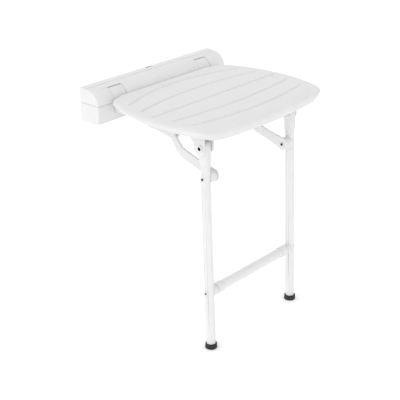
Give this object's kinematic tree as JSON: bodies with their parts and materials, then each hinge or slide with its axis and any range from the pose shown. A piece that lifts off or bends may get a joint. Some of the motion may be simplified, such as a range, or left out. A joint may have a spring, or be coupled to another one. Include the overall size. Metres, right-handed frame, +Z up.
{
  "type": "wall mounted folding shower seat",
  "caption": "Wall-mounted fold-up shower seat: grooved white plastic seat hinged on a slim wall housing, with a folding leg frame, crossbar, struts and rubber feet.",
  "frame": {"origin": "centre of the wall plate's back face, on the wall, 479 mm above the floor", "axes": "+Y into the wall, +Z up, +X to the right for a person who faces the wall; the seat reaches out along -Y"},
  "size_m": [0.4196, 0.345, 0.514],
  "materials": {
    "seat_plastic": "moulded white, fine anti-slip grain",
    "white_plastic": "moulded white, satin",
    "white_tube": "white powder coat, satin",
    "black_rubber": "moulded black rubber, matt",
    "nylon": "natural nylon",
    "aluminium_plate": "mill finish",
    "steel_bracket": "zinc plated",
    "dark_steel": "dark stainless fasteners"
  },
  "bodies": {
    "housing": {"wall_plate": "aluminium_plate", "hinge_bracket_left": "steel_bracket", "hinge_bracket_right": "steel_bracket", "bracket_screws": "dark_steel", "housing_base": "white_plastic", "base_screws": "dark_steel", "housing_cover": "white_plastic", "cover_clip": "dark_steel", "hinge_pin_left": "dark_steel", "hinge_pin_right": "dark_steel", "hinge_pin_clips": "dark_steel"},
    "seat": {"seat_panel": "seat_plastic", "hinge_arm_left": "seat_plastic", "hinge_arm_right": "seat_plastic", "hinge_bushes_left": "nylon", "hinge_bushes_right": "nylon", "arm_screws": "dark_steel", "leg_bracket_left": "white_plastic", "leg_bracket_right": "white_plastic", "leg_bracket_screws": "dark_steel", "strut_guide_left": "white_plastic", "strut_guide_right": "white_plastic", "guide_screws": "dark_steel", "leg_pivot_bolt_left": "dark_steel", "leg_pivot_bolt_right": "dark_steel", "leg_pivot_nuts": "nylon"},
    "legs": {"leg_head_left": "white_plastic", "leg_head_right": "white_plastic", "leg_tube_left": "white_tube", "leg_tube_right": "white_tube", "foot_left": "black_rubber", "foot_right": "black_rubber", "crossbar": "white_tube", "crossbar_plug_left": "white_plastic", "crossbar_plug_right": "white_plastic", "saddle_washers": "white_plastic", "crossbar_bolts": "dark_steel", "strut_pivot_bolt_left": "dark_steel", "strut_pivot_bolt_right": "dark_steel", "strut_pivot_nuts": "nylon", "strut_spacers": "white_plastic"},
    "strut_left": {"strut_left": "white_plastic", "slide_pin_left": "dark_steel", "slide_clip_left": "dark_steel"},
    "strut_right": {"strut_right": "white_plastic", "slide_pin_right": "dark_steel", "slide_clip_right": "dark_steel"}
  },
  "joints": [
    {"name": "seat_fold", "type": "hinge", "parent": "housing", "child": "seat", "pos_m": [0, -0.038, 0.018], "axis": [-1, 0, 0], "range_deg": [0, 90]},
    {"name": "leg_fold", "type": "hinge", "parent": "seat", "child": "legs", "pos_m": [0, -0.2825, -0.0385], "axis": [1, 0, 0], "range_deg": [0, 93]},
    {"name": "strut_left_pivot", "type": "hinge", "parent": "legs", "child": "strut_left", "pos_m": [-0.1125, -0.28565, -0.10282], "axis": [-1, 0, 0], "range_deg": [0, 120.6]},
    {"name": "strut_right_pivot", "type": "hinge", "parent": "legs", "child": "strut_right", "pos_m": [0.1125, -0.28565, -0.10282], "axis": [-1, 0, 0], "range_deg": [0, 120.6]}
  ],
  "couplings": [
    {"joint": "leg_fold", "follows": "seat_fold", "ratio": 1.0311},
    {"joint": "strut_left_pivot", "follows": "seat_fold", "ratio": 1.3378},
    {"joint": "strut_right_pivot", "follows": "seat_fold", "ratio": 1.3378}
  ]
}
